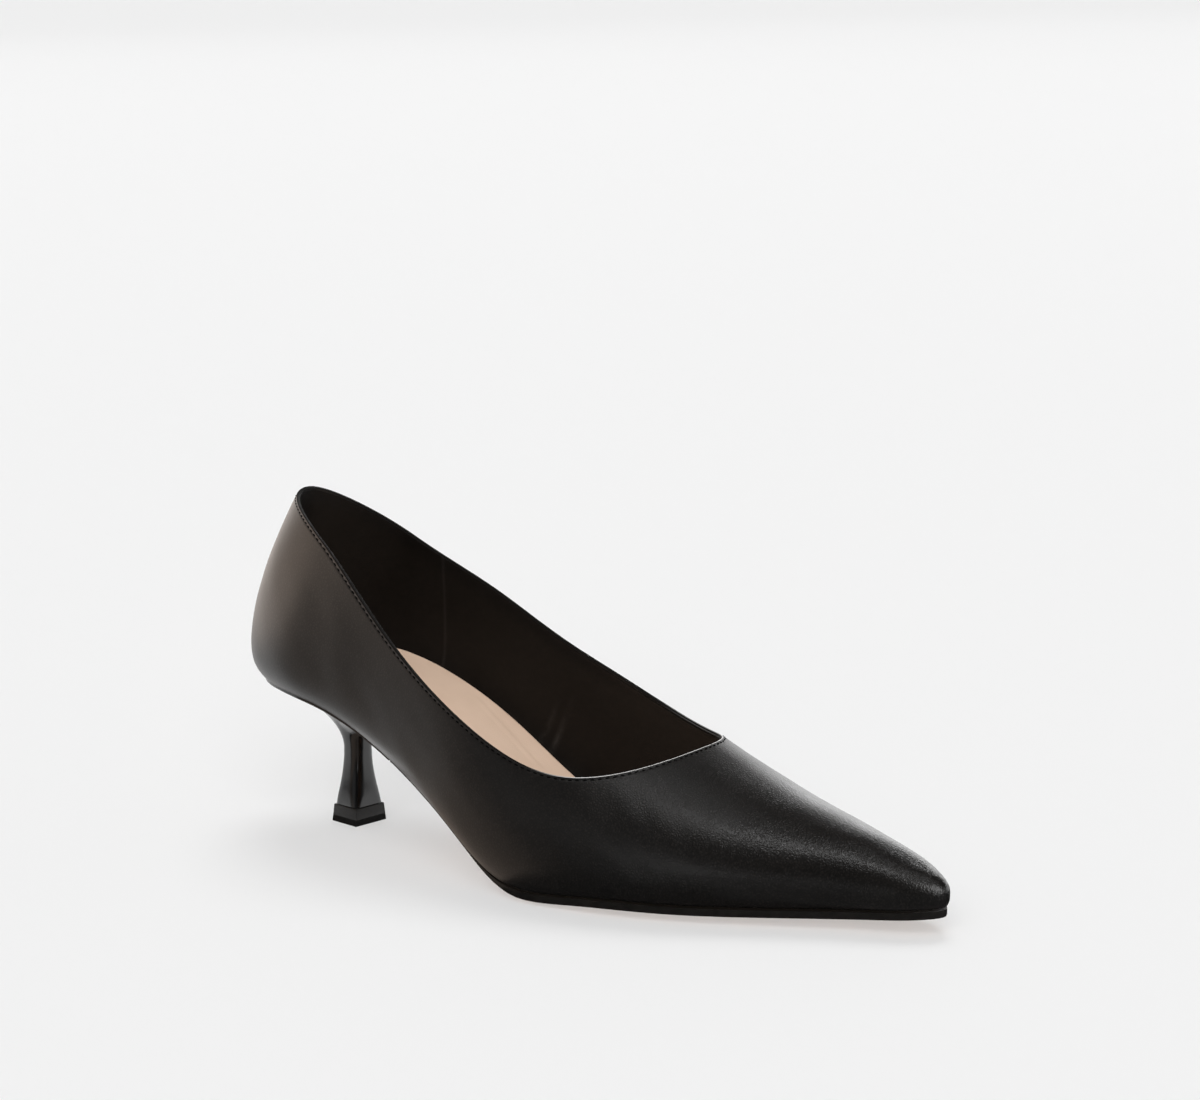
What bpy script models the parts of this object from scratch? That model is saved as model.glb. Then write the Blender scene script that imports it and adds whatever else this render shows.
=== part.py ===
"""Pointed toe pump for the right foot: upper, insole, outsole, heel and top piece."""

import math

import bmesh
import bpy
import numpy as np

# Driving sizes, in millimetres unless a name says share
LENGTH = 250.0
WALL = 1.8
GAP = 0.3
BACK_LEAN = 16.0
BACK_LEAN_HEIGHT = 60.0
BACK_TUCK = 4.0
TOE_TUCK = 1.2
NOSE_RECEDE = 7.5
NOSE_POWER = 2.6
HEEL_ROUND_SHARE = 0.13
TOE_ROUND_SHARE = 0.95
THROAT_SHARE = 0.68
INSOLE_AT_SEAT = 4.5
INSOLE_AT_TOE = 2.5
INSOLE_EDGE_ROUND = 0.8
SOLE_FOREPART = 2.4
SOLE_WAIST = 1.4
SOLE_OUT = 0.4
SOLE_BEVEL = 0.5
WAIST_OUT = -0.3
WAIST_BEVEL = 4.0
WAIST_EDGE = 0.45
WAIST_SHARE = 0.40
FOREPART_SHARE = 0.52
CUP_EDGE_AT_BACK = 0.5
CUP_EDGE = 0.8
CUP_SLOPE = 0.35
HEEL_X = 36.5
HEEL_Y = -1.5
HEEL_TURN = math.radians(-10.0)
HEEL_RAKE = -0.012
NECK_TILT = -3.0
TOP_PIECE_HEIGHT = 5.5

# Mesh steps
HEEL_STEPS = 8
SIDE_STEPS = 30
BREAST_STEP = 5
VAMP_STEPS = 10
CLUSTER = 1.6
TOE_STEPS = 6
LOW_ROWS = 4
HIGH_ROWS = 8
ACROSS = 8
HEEL_POINTS = 48
SWEEP_STEPS = 8

# Last sections from the back to the toe: share of the length, feather height and
# half width on the lateral and medial sides, tuck below the bulge, height of the
# bulge, height of the crest, and crown of the bottom across the foot
LAST_COLUMNS = ("share", "floor_lat", "floor_med", "half_lat", "half_med", "tuck", "bulge", "crest", "crown")
LAST = np.array((
    (0.00, 45.0, 45.0, 24.0, 25.0, 3.5, 11.5, 72.0, 0.0),
    (0.13, 44.2, 44.6, 26.5, 26.0, 3.5, 14.5, 79.0, 0.0),
    (0.26, 32.6, 36.0, 29.5, 23.5, 4.0, 18.3, 93.5, 0.2),
    (0.38, 17.0, 21.0, 37.0, 19.3, 4.5, 19.0, 86.0, 0.8),
    (0.48, 5.0, 8.0, 43.7, 21.0, 4.0, 17.0, 68.0, 1.8),
    (0.58, 4.6, 4.1, 43.7, 23.5, 3.4, 14.8, 52.75, 2.1),
    (0.70, 5.3, 4.4, 36.7, 24.5, 2.9, 11.8, 37.7, 2.3),
    (0.82, 5.8, 5.6, 23.0, 19.5, 2.5, 8.9, 26.3, 1.5),
    (0.92, 6.8, 6.8, 12.1, 11.7, 2.0, 6.4, 18.9, 0.8),
    (1.00, 8.0, 8.0, 5.7, 6.0, 1.2, 3.8, 10.6, 0.2),
))

# Collar line: share of the length and its height on the lateral and medial sides
COLLAR = np.array((
    (0.00, 104.5, 104.5),
    (0.13, 94.5, 86.5),
    (0.27, 70.8, 73.2),
    (0.42, 50.7, 58.7),
    (0.55, 40.5, 46.8),
))

# Heel column: height, half length, half width and squareness of each section
COLUMN = np.array((
    (5.8, 5.05, 5.9, 3.6),
    (8.0, 4.9, 5.65, 3.5),
    (12.5, 4.35, 4.9, 3.3),
    (18.0, 3.85, 4.15, 3.1),
    (26.8, 3.75, 3.9, 2.9),
))
TIP_TOP = (5.1, 6.0, 10.0)
TIP_BOTTOM = (5.5, 6.5, 10.0)

LATERAL = -1.0
MEDIAL = 1.0

# Finishes: linear colour, roughness
FINISHES = {
    "upper": ((0.012, 0.012, 0.012), 0.42),
    "insole": ((0.70, 0.50, 0.37), 0.6),
    "outsole": ((0.02, 0.018, 0.016), 0.5),
    "heel": ((0.012, 0.012, 0.013), 0.2),
    "top_piece": ((0.02, 0.02, 0.02), 0.6),
}


def spline(knots, values, at):
    """Natural cubic through the knots."""
    knots, values, at = (np.asarray(a, float) for a in (knots, values, at))
    step = np.diff(knots)
    n = len(knots)
    system = np.eye(n)
    right = np.zeros(n)
    for i in range(1, n - 1):
        system[i, i - 1:i + 2] = step[i - 1], 2 * (step[i - 1] + step[i]), step[i]
        right[i] = 6 * ((values[i + 1] - values[i]) / step[i] - (values[i] - values[i - 1]) / step[i - 1])
    bend = np.linalg.solve(system, right)
    i = np.clip(np.searchsorted(knots, at, side="right") - 1, 0, n - 2)
    a = (knots[i + 1] - at) / step[i]
    b = (at - knots[i]) / step[i]
    cubic = ((a**3 - a) * bend[i] + (b**3 - b) * bend[i + 1]) * step[i] ** 2 / 6
    return a * values[i] + b * values[i + 1] + cubic


def last(column, share):
    """One named column of the last at the given shares of the length."""
    return spline(LAST[:, 0], LAST[:, LAST_COLUMNS.index(column)], share)


def feather(share, side):
    return last("floor_lat" if side < 0 else "floor_med", share)


def half_width(share, side):
    return last("half_lat" if side < 0 else "half_med", share)


def crest_height(share):
    return 0.5 * (feather(share, LATERAL) + feather(share, MEDIAL)) + last("crest", share)


def end_round(share):
    """Share of the half width left where the plan rounds off at heel and toe."""
    back = np.clip(1 - share / HEEL_ROUND_SHARE, 0, 1)
    front = np.clip((share - TOE_ROUND_SHARE) / (1 - TOE_ROUND_SHARE), 0, 1)
    return np.sqrt(np.clip((1 - back**2) * (1 - front**2), 0, 1))


def side_steps():
    """Stations from heel to throat, closer together towards the throat."""
    run = 1 - np.arange(SIDE_STEPS + 1) / SIDE_STEPS
    return THROAT_SHARE - (THROAT_SHARE - HEEL_ROUND_SHARE) * run**CLUSTER


def all_stations():
    turn = np.linspace(0, math.pi / 2, HEEL_STEPS + 1)
    heel = HEEL_ROUND_SHARE * (1 - np.cos(turn))
    vamp = THROAT_SHARE + (TOE_ROUND_SHARE - THROAT_SHARE) * np.linspace(0, 1, VAMP_STEPS + 1) ** CLUSTER
    turn = np.linspace(0, math.pi / 2, TOE_STEPS + 1)
    toe = TOE_ROUND_SHARE + (1 - TOE_ROUND_SHARE) * np.sin(turn)
    return np.concatenate((heel, side_steps()[1:], vamp[1:], toe[1:]))


def last_point(share, rise, side, inset):
    """Point of the lasted wall: rise 0 at the feather, 1 at the bulge, 2 at the crest."""
    floor = feather(share, side)
    bulge = last("bulge", share)
    tuck = last("tuck", share)
    reach = half_width(share, side) + tuck - inset
    crest = crest_height(share) - floor - inset
    under = np.clip(1 - rise, 0, 1) ** 3
    turn = np.clip(rise - 1, 0, 1) * math.pi / 2
    low = rise < 1
    up = np.where(low, bulge * rise, bulge + (crest - bulge) * np.sin(turn))
    out = np.where(low, reach - tuck * under, reach * np.cos(turn)) * end_round(share)
    level = 0.5 * (feather(share, LATERAL) + feather(share, MEDIAL))
    over = np.clip((floor + up - level - bulge) / (BACK_LEAN_HEIGHT - bulge), 0, None)
    back = inset + np.where(low, BACK_TUCK * under, BACK_LEAN * over**1.5)
    nose = LENGTH - inset - np.where(low, TOE_TUCK * under, NOSE_RECEDE * np.sin(turn) ** NOSE_POWER)
    return np.stack((back + (nose - back) * share, side * out, floor + up), -1)


def collar_rise(share, side):
    """How far up the wall the collar lies at each station."""
    throat = crest_height(np.array([THROAT_SHARE]))[0]
    knots = np.append(COLLAR[:, 0], THROAT_SHARE)
    heights = np.append(COLLAR[:, 1 if side < 0 else 2], throat)
    line = spline(knots, heights, np.minimum(share, THROAT_SHARE)) - feather(share, side)
    bulge = last("bulge", share)
    crest = crest_height(share) - feather(share, side)
    climb = np.clip((line - bulge) / (crest - bulge), 0, 1)
    return np.where(share < THROAT_SHARE, 1 + np.arcsin(climb) * 2 / math.pi, 2.0)


def wall_sheet(side, inset):
    """Grid of the wall, a row per station from the feather to the collar or crest."""
    share = all_stations()
    top = collar_rise(share, side)
    low = np.linspace(0, 1, LOW_ROWS + 1)
    high = 1 + (top[:, None] - 1) * np.linspace(0, 1, HIGH_ROWS + 1)[None, 1:]
    rise = np.hstack((np.repeat(low[None], len(share), 0), high))
    return last_point(np.repeat(share[:, None], rise.shape[1], 1), rise, side, inset)


def bottom_height(share, across):
    """Height of the lasted bottom; across runs from -1 lateral to 1 medial."""
    blend = 0.5 * (1 + across)
    edge = feather(share, LATERAL) * (1 - blend) + feather(share, MEDIAL) * blend
    return edge - last("crown", share) * (1 - across**2) * end_round(share)


def bottom_plan(share, across, out):
    """Plan position on the lasted bottom, with the outline moved out by a distance."""
    back = BACK_TUCK - out
    nose = LENGTH - TOE_TUCK + out
    half = np.where(across < 0, half_width(share, LATERAL), half_width(share, MEDIAL)) + out
    return back + (nose - back) * share, across * half * end_round(share)


def smooth_step(low, high, at):
    t = np.clip((at - low) / (high - low), 0, 1)
    return t * t * (3 - 2 * t)


def finish(name):
    material = bpy.data.materials.new(name)
    material.use_nodes = True
    shader = material.node_tree.nodes["Principled BSDF"]
    colour, roughness = FINISHES[name]
    shader.inputs["Base Color"].default_value = (*colour, 1.0)
    shader.inputs["Roughness"].default_value = roughness
    return material


def add_piece(name, points, faces):
    """One closed mesh object in metres, facing outward."""
    shell = bmesh.new()
    verts = [shell.verts.new(np.asarray(p, float) * 0.001) for p in points]
    for face in faces:
        shell.faces.new([verts[i] for i in face])
    bmesh.ops.remove_doubles(shell, verts=shell.verts, dist=0.00001)
    bmesh.ops.dissolve_degenerate(shell, edges=shell.edges, dist=0.000005)
    bmesh.ops.recalc_face_normals(shell, faces=shell.faces)
    mesh = bpy.data.meshes.new(name)
    shell.to_mesh(mesh)
    shell.free()
    mesh.materials.append(finish(name))
    piece = bpy.data.objects.new(name, mesh)
    bpy.context.collection.objects.link(piece)
    return piece


def loft(rings, close_first, close_last):
    """Points and faces through rings of equal count, with optional end caps."""
    rings = [np.asarray(ring, float) for ring in rings]
    count = len(rings[0])
    faces = []
    for k in range(len(rings) - 1):
        for i in range(count):
            j = (i + 1) % count
            faces.append((k * count + i, k * count + j, (k + 1) * count + j, (k + 1) * count + i))
    if close_first:
        faces.append(tuple(range(count)))
    if close_last:
        base = (len(rings) - 1) * count
        faces.append(tuple(range(base, base + count)))
    return np.vstack(rings), faces


def make_upper():
    """Hollow lasted shell, open at the collar and underneath."""
    sheets = [wall_sheet(side, inset) for inset in (0.0, WALL) for side in (LATERAL, MEDIAL)]
    rows, columns = sheets[0].shape[:2]
    points = np.vstack([sheet.reshape(-1, 3) for sheet in sheets])
    throat_row = HEEL_STEPS + SIDE_STEPS

    def at(sheet, row, column):
        return (sheet * rows + row) * columns + column

    faces = []
    for row in range(rows - 1):
        for sheet in range(4):
            for column in range(columns - 1):
                corners = ((row, column), (row + 1, column), (row + 1, column + 1), (row, column + 1))
                faces.append([at(sheet, *corner) for corner in corners])
        for outer in (0, 1):
            inner = outer + 2
            rims = [0] if row >= throat_row else [0, columns - 1]
            for column in rims:
                faces.append([at(outer, row, column), at(outer, row + 1, column),
                              at(inner, row + 1, column), at(inner, row, column)])
    return add_piece("upper", points, faces)


def make_insole():
    """Padded board with its sock, filling the bottom of the upper."""
    across = np.linspace(-1, 1, ACROSS + 1)
    inset = WALL + GAP
    rings = []
    for share in all_stations():
        place = np.full_like(across, share)
        thick = INSOLE_AT_SEAT + (INSOLE_AT_TOE - INSOLE_AT_SEAT) * share
        x, y = bottom_plan(place, across, -inset)
        floor = bottom_height(place, across)
        ring = [np.stack((x, y, floor), -1)]
        shoulder = thick - INSOLE_EDGE_ROUND
        pinch = 1 - INSOLE_EDGE_ROUND / max(half_width(share, MEDIAL), 4.0)
        for end in (-1, 0):
            edge = (x[end], y[end], floor[end] + shoulder)
            ring.insert(2 if end == -1 else 0, np.array([edge]))
        top = np.stack((x, y * pinch, floor + thick), -1)
        rings.append(np.vstack((ring[0], ring[1], ring[2], top[::-1])))
    points, faces = loft(rings, False, False)
    return add_piece("insole", points, faces)


def make_outsole():
    """Thin sole from the front of the heel to the toe, flat where it treads."""
    across = np.linspace(-1, 1, ACROSS + 1)
    shares = all_stations()[HEEL_STEPS + BREAST_STEP:]
    rings = []
    for share in shares:
        place = np.full_like(across, share)
        fore = smooth_step(WAIST_SHARE, FOREPART_SHARE, share)
        thick = SOLE_WAIST + (SOLE_FOREPART - SOLE_WAIST) * fore
        out = WAIST_OUT + (SOLE_OUT - WAIST_OUT) * fore
        inward = WAIST_BEVEL + (SOLE_BEVEL - WAIST_BEVEL) * fore
        edge = WAIST_EDGE + (SOLE_FOREPART - SOLE_BEVEL - WAIST_EDGE) * fore
        x, y = bottom_plan(place, across, out)
        low_x, low_y = bottom_plan(place, across, out - inward)
        roof = bottom_height(place, across) - GAP
        tread = np.maximum(roof - thick, 0.0)
        upper_row = np.stack((x, y, roof), -1)
        lower_row = np.stack((low_x, low_y, tread), -1)
        bevel = roof - (roof - tread) * edge / thick
        edges = [np.array([(x[end], y[end], bevel[end])]) for end in (-1, 0)]
        rings.append(np.vstack((upper_row, edges[0], lower_row[::-1], edges[1])))
    points, faces = loft(rings, True, False)
    return add_piece("outsole", points, faces)


def column_ring(height, half_length, half_width_across, square):
    """Rounded square section of the heel, turned to the line of the seat."""
    turn = np.arange(HEEL_POINTS) * 2 * math.pi / HEEL_POINTS
    power = 2 / square
    along = half_length * np.sign(np.cos(turn)) * np.abs(np.cos(turn)) ** power
    cross = half_width_across * np.sign(np.sin(turn)) * np.abs(np.sin(turn)) ** power
    x = HEEL_X + HEEL_RAKE * height + along * math.cos(HEEL_TURN) - cross * math.sin(HEEL_TURN)
    y = HEEL_Y + along * math.sin(HEEL_TURN) + cross * math.cos(HEEL_TURN)
    return np.stack((x, y, np.full_like(x, height)), -1)


def seat_outline(front):
    """Plan of the heel cup: round at the back and straight across at the front."""
    share = np.linspace(0, 1, 81) ** 2 * front
    lateral = np.stack(bottom_plan(share, np.full_like(share, LATERAL), 0.0), -1)
    medial = np.stack(bottom_plan(share, np.full_like(share, MEDIAL), 0.0), -1)
    breast = lateral[-1] + (medial[-1] - lateral[-1]) * np.linspace(0, 1, 41)[1:-1, None]
    return np.vstack((medial[::-1], lateral[1:], breast)), lateral[-1], medial[-1]


def seat_ring(neck, front):
    """Point of the cup's outline straight out from each point of the column's neck."""
    outline, *corners = seat_outline(front)
    centre = neck[:, :2].mean(0)
    spread = outline - centre
    bearing = np.unwrap(np.arctan2(spread[:, 1], spread[:, 0]))
    order = np.argsort(bearing)
    bearing, distance = bearing[order], np.hypot(*spread[order].T)
    aim = np.arctan2(*(neck[:, :2] - centre).T[::-1])
    aim = bearing[0] + np.mod(aim - bearing[0], 2 * math.pi)
    reach = np.interp(aim, np.append(bearing, bearing[0] + 2 * math.pi), np.append(distance, distance[0]))
    ring = centre + np.stack((reach * np.cos(aim), reach * np.sin(aim)), -1)
    for corner in corners:
        ring[np.argmin(np.hypot(*(ring - corner).T))] = corner
    return ring


def seat_height(plan):
    """Height of the lasted bottom over a plan position under the seat."""
    share = np.clip((plan[:, 0] - BACK_TUCK) / (LENGTH - TOE_TUCK - BACK_TUCK), 0, 1)
    half = np.where(plan[:, 1] < 0, half_width(share, LATERAL), half_width(share, MEDIAL))
    return bottom_height(share, np.clip(plan[:, 1] / half, -1, 1))


def make_heel():
    """Thin cup under the seat that sweeps into a slim column flaring to its foot."""
    front = side_steps()[BREAST_STEP] - GAP / LENGTH
    neck = column_ring(*COLUMN[-1])
    centre = neck[:, :2].mean(0)
    edge = seat_ring(neck, front)
    rings = []
    for part in (0.02, 0.35, 0.7, 1.0):
        plan = centre + (edge - centre) * part
        rings.append(np.column_stack((plan, seat_height(plan) - GAP)))
    rim = CUP_EDGE_AT_BACK + (CUP_EDGE - CUP_EDGE_AT_BACK) * smooth_step(BACK_TUCK, HEEL_X, edge[:, 0])
    lip = np.column_stack((edge, seat_height(edge) - GAP - rim))
    neck[:, 2] -= NECK_TILT * (neck[:, 0] - centre[0]) / COLUMN[-1, 1]
    for turn in np.linspace(math.pi / 2, 0, SWEEP_STEPS + 1):
        plan = neck[:, :2] + (lip - neck)[:, :2] * (1 - math.cos(turn))
        climb = (1 - CUP_SLOPE) * math.sin(turn) + CUP_SLOPE * (1 - math.cos(turn))
        rings.append(np.column_stack((plan, neck[:, 2] + (lip - neck)[:, 2] * climb)))
    for section in COLUMN[-2::-1]:
        rings.append(column_ring(*section))
    points, faces = loft(rings, True, True)
    return add_piece("heel", points, faces)


def make_top_piece():
    """Wearing block under the heel column."""
    rings = [column_ring(0.0, *TIP_BOTTOM), column_ring(TOP_PIECE_HEIGHT, *TIP_TOP)]
    points, faces = loft(rings, True, True)
    return add_piece("top_piece", points, faces)


def centre_on_floor(pieces):
    """Move every piece so that the whole stands over the origin."""
    points = np.vstack([[v.co[:] for v in piece.data.vertices] for piece in pieces])
    low, high = points.min(0), points.max(0)
    shift = np.array((-(low[0] + high[0]) / 2, -(low[1] + high[1]) / 2, -low[2]))
    for piece in pieces:
        for v in piece.data.vertices:
            v.co = np.array(v.co[:]) + shift


for old in list(bpy.data.objects):
    bpy.data.objects.remove(old, do_unlink=True)
centre_on_floor([make_upper(), make_insole(), make_outsole(), make_heel(), make_top_piece()])
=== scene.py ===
"""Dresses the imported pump: leather upper, lining, sock, sole, heel, top piece and stitching."""

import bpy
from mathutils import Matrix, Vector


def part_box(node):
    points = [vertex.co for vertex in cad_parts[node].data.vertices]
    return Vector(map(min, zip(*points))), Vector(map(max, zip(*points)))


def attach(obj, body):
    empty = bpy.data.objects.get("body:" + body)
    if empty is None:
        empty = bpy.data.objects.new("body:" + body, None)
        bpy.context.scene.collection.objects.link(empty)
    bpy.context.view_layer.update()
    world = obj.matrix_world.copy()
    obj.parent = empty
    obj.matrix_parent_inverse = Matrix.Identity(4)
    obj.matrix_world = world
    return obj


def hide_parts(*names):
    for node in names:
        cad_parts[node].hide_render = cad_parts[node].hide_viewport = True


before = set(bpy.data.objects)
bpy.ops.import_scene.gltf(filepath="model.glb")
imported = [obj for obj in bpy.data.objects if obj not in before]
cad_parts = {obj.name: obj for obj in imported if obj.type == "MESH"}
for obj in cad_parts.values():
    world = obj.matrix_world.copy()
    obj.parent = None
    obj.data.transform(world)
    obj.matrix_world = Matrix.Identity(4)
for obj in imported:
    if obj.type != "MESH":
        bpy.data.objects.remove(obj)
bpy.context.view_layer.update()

import math

import bpy
import numpy as np
from mathutils import Vector
from mathutils.kdtree import KDTree

# The shoe's own sizes, in millimetres unless a name says share
MM = 0.001
LENGTH = 250.0
GAP = 0.3
BACK_LEAN = 16.0
BACK_LEAN_HEIGHT = 60.0
BACK_TUCK = 4.0
TOE_TUCK = 1.2
NOSE_RECEDE = 7.5
NOSE_POWER = 2.6
HEEL_ROUND_SHARE = 0.13
TOE_ROUND_SHARE = 0.95
THROAT_SHARE = 0.68
BREAST_SHARE = 0.2692
LEATHER = 1.2
LINING_INSET = 1.25
LINING = 0.75
LINING_TOP = 0.25
LINING_DROP = 0.25
# Seam and wrinkles of the lining: raised in relief and lightened as painted highlights
LINING_SEAM = 49.6
LINING_SEAM_WIDTH = 0.9
LINING_WRINKLES = (79.5, 84.5)
WRINKLE_WIDTH = 1.8
WRINKLE_LEAN = -0.4
RIM_HEIGHT = 0.3
RIM_SQUARE = 0.5
RIM_FADE = 3.5
CUT_EDGE = 0.03
# Painted highlight along the collar rim: its share far from the throat, the shares where it grows, the turns
# round the rim where it fades, and its share on the inner corner
GLINT_ALONG = 0.06
GLINT_SHARES = (0.50, 0.60)
GLINT_TURNS = (1.0, 1.5)
INNER_GLINT = 0.3
EDGE_ROLL = 0.7
ROLL_SHARES = (0.3, 0.5)
UNEVEN = 0.06
CALM_BELOW_EDGE = (2.0, 12.0)
CALM_ABOVE_FEATHER = (0.0, 0.6)
STITCH_DROP = 0.72
STITCH_PITCH = 2.25
STITCH_LENGTH = 1.45
STITCH_SINK = 0.10
STITCH_PROUD = 0.02
THREAD = 0.5
GROOVE_DEPTH = 0.12
GROOVE_WIDTH = 0.32
SOCK_INSET = 2.1
SOCK_AT_SEAT = 4.5
SOCK_AT_TOE = 2.5
SOCK_EDGE = 1.2
SOCK_EDGE_STEEP = 0.97
RIDGE_HEIGHT = 0.3
RIDGE_WIDTH = 0.8
RIDGE_ACROSS = 0.9
RIDGE_TURN = -1.6
RIDGE_SHARES = (0.2, 0.44)
RIDGE_RISES = (0.2, 0.3)
RIDGE_FALLS = (0.39, 0.46)
SOLE_FOREPART = 2.4
SOLE_WAIST = 1.4
SOLE_OUT = 0.4
SOLE_BEVEL = 0.5
SOLE_EDGE_MIDDLE = 0.3
BREAST_HALF = 30.0
BREAST_THICK = 1.0
WAIST_OUT = -0.3
WAIST_BEVEL = 4.0
WAIST_EDGE = 0.45
WAIST_SHARE = 0.40
FOREPART_SHARE = 0.52
CUP_EDGE_AT_BACK = 0.5
CUP_EDGE = 0.8
CUP_EDGE_AT_BREAST = 0.5
SEAT_GAP = 0.05
CUP_SLOPE = 0.35
HEEL_X = 36.5
HEEL_Y = -1.5
HEEL_TURN = math.radians(-10.0)
HEEL_RAKE = -0.012
NECK_TILT = -3.0
TOP_PIECE_HEIGHT = 5.5
TOP_PIECE_BEVEL = 0.2

# Mesh steps
HEEL_STEPS = 16
SIDE_STEPS = 96
SIDE_CLUSTER = 2.0
VAMP_STEPS = 44
VAMP_CLUSTER = 1.5
TOE_STEPS = 12
LOW_ROWS = 10
HIGH_ROWS = 22
INNER_ROWS = 14
RIM_STEPS = 12
ROLL_ROWS = (0.0, 0.07, 0.2, 0.42)
NEAR_COLLAR = (2.4, 1.9, 1.55, 1.3, 1.1, 0.95, 0.82, 0.7, 0.58, 0.44, 0.25, 0.0)
NEAR_INSIDE = (4.0, 2.0, 0.9, 0.0)
RISE_STEPS = 60
BREAST_STEP_SHARE = 0.004
SEAT_STEPS = 80
SEAT_FRONT_STEPS = 40
SEAT_PARTS = (0.0, 0.25, 0.5, 0.75, 0.97, 1.0)
COLUMN_STEPS = 17
FOOT_PARTS = (0.97, 0.0)
ACROSS = 28
SOCK_ACROSS = 64
HEEL_POINTS = 96
SWEEP_STEPS = 20

# Last sections from the back to the toe: share of the length, feather height and
# half width on the lateral and medial sides, tuck below the bulge, height of the
# bulge, height of the crest, and crown of the bottom across the foot
LAST_COLUMNS = ("share", "floor_lat", "floor_med", "half_lat", "half_med", "tuck", "bulge", "crest", "crown")
LAST = np.array((
    (0.00, 45.0, 45.0, 24.0, 25.0, 3.5, 11.5, 72.0, 0.0),
    (0.13, 44.2, 44.6, 26.5, 26.0, 3.5, 14.5, 79.0, 0.0),
    (0.26, 32.6, 36.0, 29.5, 23.5, 4.0, 18.3, 93.5, 0.2),
    (0.38, 17.0, 21.0, 37.0, 19.3, 4.5, 19.0, 86.0, 0.8),
    (0.48, 5.0, 8.0, 43.7, 21.0, 4.0, 17.0, 68.0, 1.8),
    (0.58, 4.6, 4.1, 43.7, 23.5, 3.4, 14.8, 52.75, 2.1),
    (0.70, 5.3, 4.4, 36.7, 24.5, 2.9, 11.8, 37.7, 2.3),
    (0.82, 5.8, 5.6, 23.0, 19.5, 2.5, 8.9, 26.3, 1.5),
    (0.92, 6.8, 6.8, 12.1, 11.7, 2.0, 6.4, 18.9, 0.8),
    (1.00, 8.0, 8.0, 5.7, 6.0, 1.2, 3.8, 10.6, 0.2),
))

# Collar line: share of the length and its height on the lateral and medial sides
COLLAR = np.array((
    (0.00, 104.5, 104.5),
    (0.13, 94.5, 86.5),
    (0.27, 70.8, 73.2),
    (0.42, 50.7, 58.7),
    (0.55, 40.5, 48.3),
    (0.63, 41.96, 43.6),
))

# Creases of the leather: side, then share of the length and rise at both ends, depth and width
CREASES = (
    (-1.0, 0.560, 1.30, 0.606, 1.02, 0.10, 3.2),
    (-1.0, 0.612, 1.36, 0.680, 0.92, 0.12, 3.0),
    (-1.0, 0.655, 1.42, 0.705, 1.08, 0.10, 2.4),
    (-1.0, 0.700, 1.40, 0.745, 1.15, 0.08, 2.2),
    (-1.0, 0.156, 1.19, 0.178, 0.54, 0.10, 4.0),
    (-1.0, 0.314, 1.07, 0.404, 1.13, 0.06, 5.0),
    (1.0, 0.570, 1.30, 0.620, 1.00, 0.10, 3.2),
    (1.0, 0.630, 1.38, 0.690, 0.95, 0.11, 2.8),
    (1.0, 0.690, 1.40, 0.740, 1.10, 0.08, 2.4),
    (1.0, 0.160, 1.20, 0.185, 0.55, 0.10, 4.0),
)

# Slow unevenness of the leather: weight, then two waves by their turn along x, y and z and their start
WAVES = (
    (1.0, (0.19, 0.0, 0.11, 1.0), (-0.07, 0.16, 0.0, 0.4)),
    (0.7, (0.31, -0.23, 0.17, 0.0), (0.13, 0.0, 0.21, 2.0)),
)

# How far the sock rises on the medial side: share of the length and rise
ARCH_WING = np.array((
    (0.00, 0.0),
    (0.12, 0.3),
    (0.24, 0.2),
    (0.34, 1.3),
    (0.42, 0.8),
    (0.52, 0.0),
))

# Heel column: height, half length, half width and squareness of each section
COLUMN = np.array((
    (5.8, 5.05, 5.9, 6.5),
    (8.0, 4.9, 5.65, 5.4),
    (12.5, 4.35, 4.9, 4.3),
    (18.0, 3.85, 4.15, 3.6),
    (26.8, 3.75, 3.9, 3.0),
))
TIP_TOP = (5.1, 6.0)
TIP_BOTTOM = (5.5, 6.5)

LATERAL = -1.0
MEDIAL = 1.0

# Where the last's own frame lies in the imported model, read from the top piece
tip_low, tip_high = (np.array(corner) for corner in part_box("top_piece"))
SHIFT = np.array((*(0.5 * (tip_low + tip_high)[:2] - np.array((HEEL_X, HEEL_Y)) * MM), tip_low[2]))


def spline(knots, values, at):
    """Natural cubic through the knots."""
    knots, values, at = (np.asarray(a, float) for a in (knots, values, at))
    step = np.diff(knots)
    n = len(knots)
    system = np.eye(n)
    right = np.zeros(n)
    for i in range(1, n - 1):
        system[i, i - 1:i + 2] = step[i - 1], 2 * (step[i - 1] + step[i]), step[i]
        right[i] = 6 * ((values[i + 1] - values[i]) / step[i] - (values[i] - values[i - 1]) / step[i - 1])
    bend = np.linalg.solve(system, right)
    i = np.clip(np.searchsorted(knots, at, side="right") - 1, 0, n - 2)
    a = (knots[i + 1] - at) / step[i]
    b = (at - knots[i]) / step[i]
    cubic = ((a**3 - a) * bend[i] + (b**3 - b) * bend[i + 1]) * step[i] ** 2 / 6
    return a * values[i] + b * values[i + 1] + cubic


def last(column, share):
    """One named column of the last at the given shares of the length."""
    return spline(LAST[:, 0], LAST[:, LAST_COLUMNS.index(column)], share)


def feather(share, side):
    return last("floor_lat" if side < 0 else "floor_med", share)


def half_width(share, side):
    return last("half_lat" if side < 0 else "half_med", share)


def half_at(share, across):
    """Half width on the side that a place across the foot lies on."""
    return np.where(across < 0, half_width(share, LATERAL), half_width(share, MEDIAL))


def mean_feather(share):
    return 0.5 * (feather(share, LATERAL) + feather(share, MEDIAL))


def crest_height(share):
    return mean_feather(share) + last("crest", share)


def end_round(share):
    """Share of the half width left where the plan rounds off at heel and toe."""
    back = np.clip(1 - share / HEEL_ROUND_SHARE, 0, 1)
    front = np.clip((share - TOE_ROUND_SHARE) / (1 - TOE_ROUND_SHARE), 0, 1)
    return np.sqrt(np.clip((1 - back**2) * (1 - front**2), 0, 1))


def smooth_step(low, high, at):
    t = np.clip((at - low) / (high - low), 0, 1)
    return t * t * (3 - 2 * t)


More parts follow.
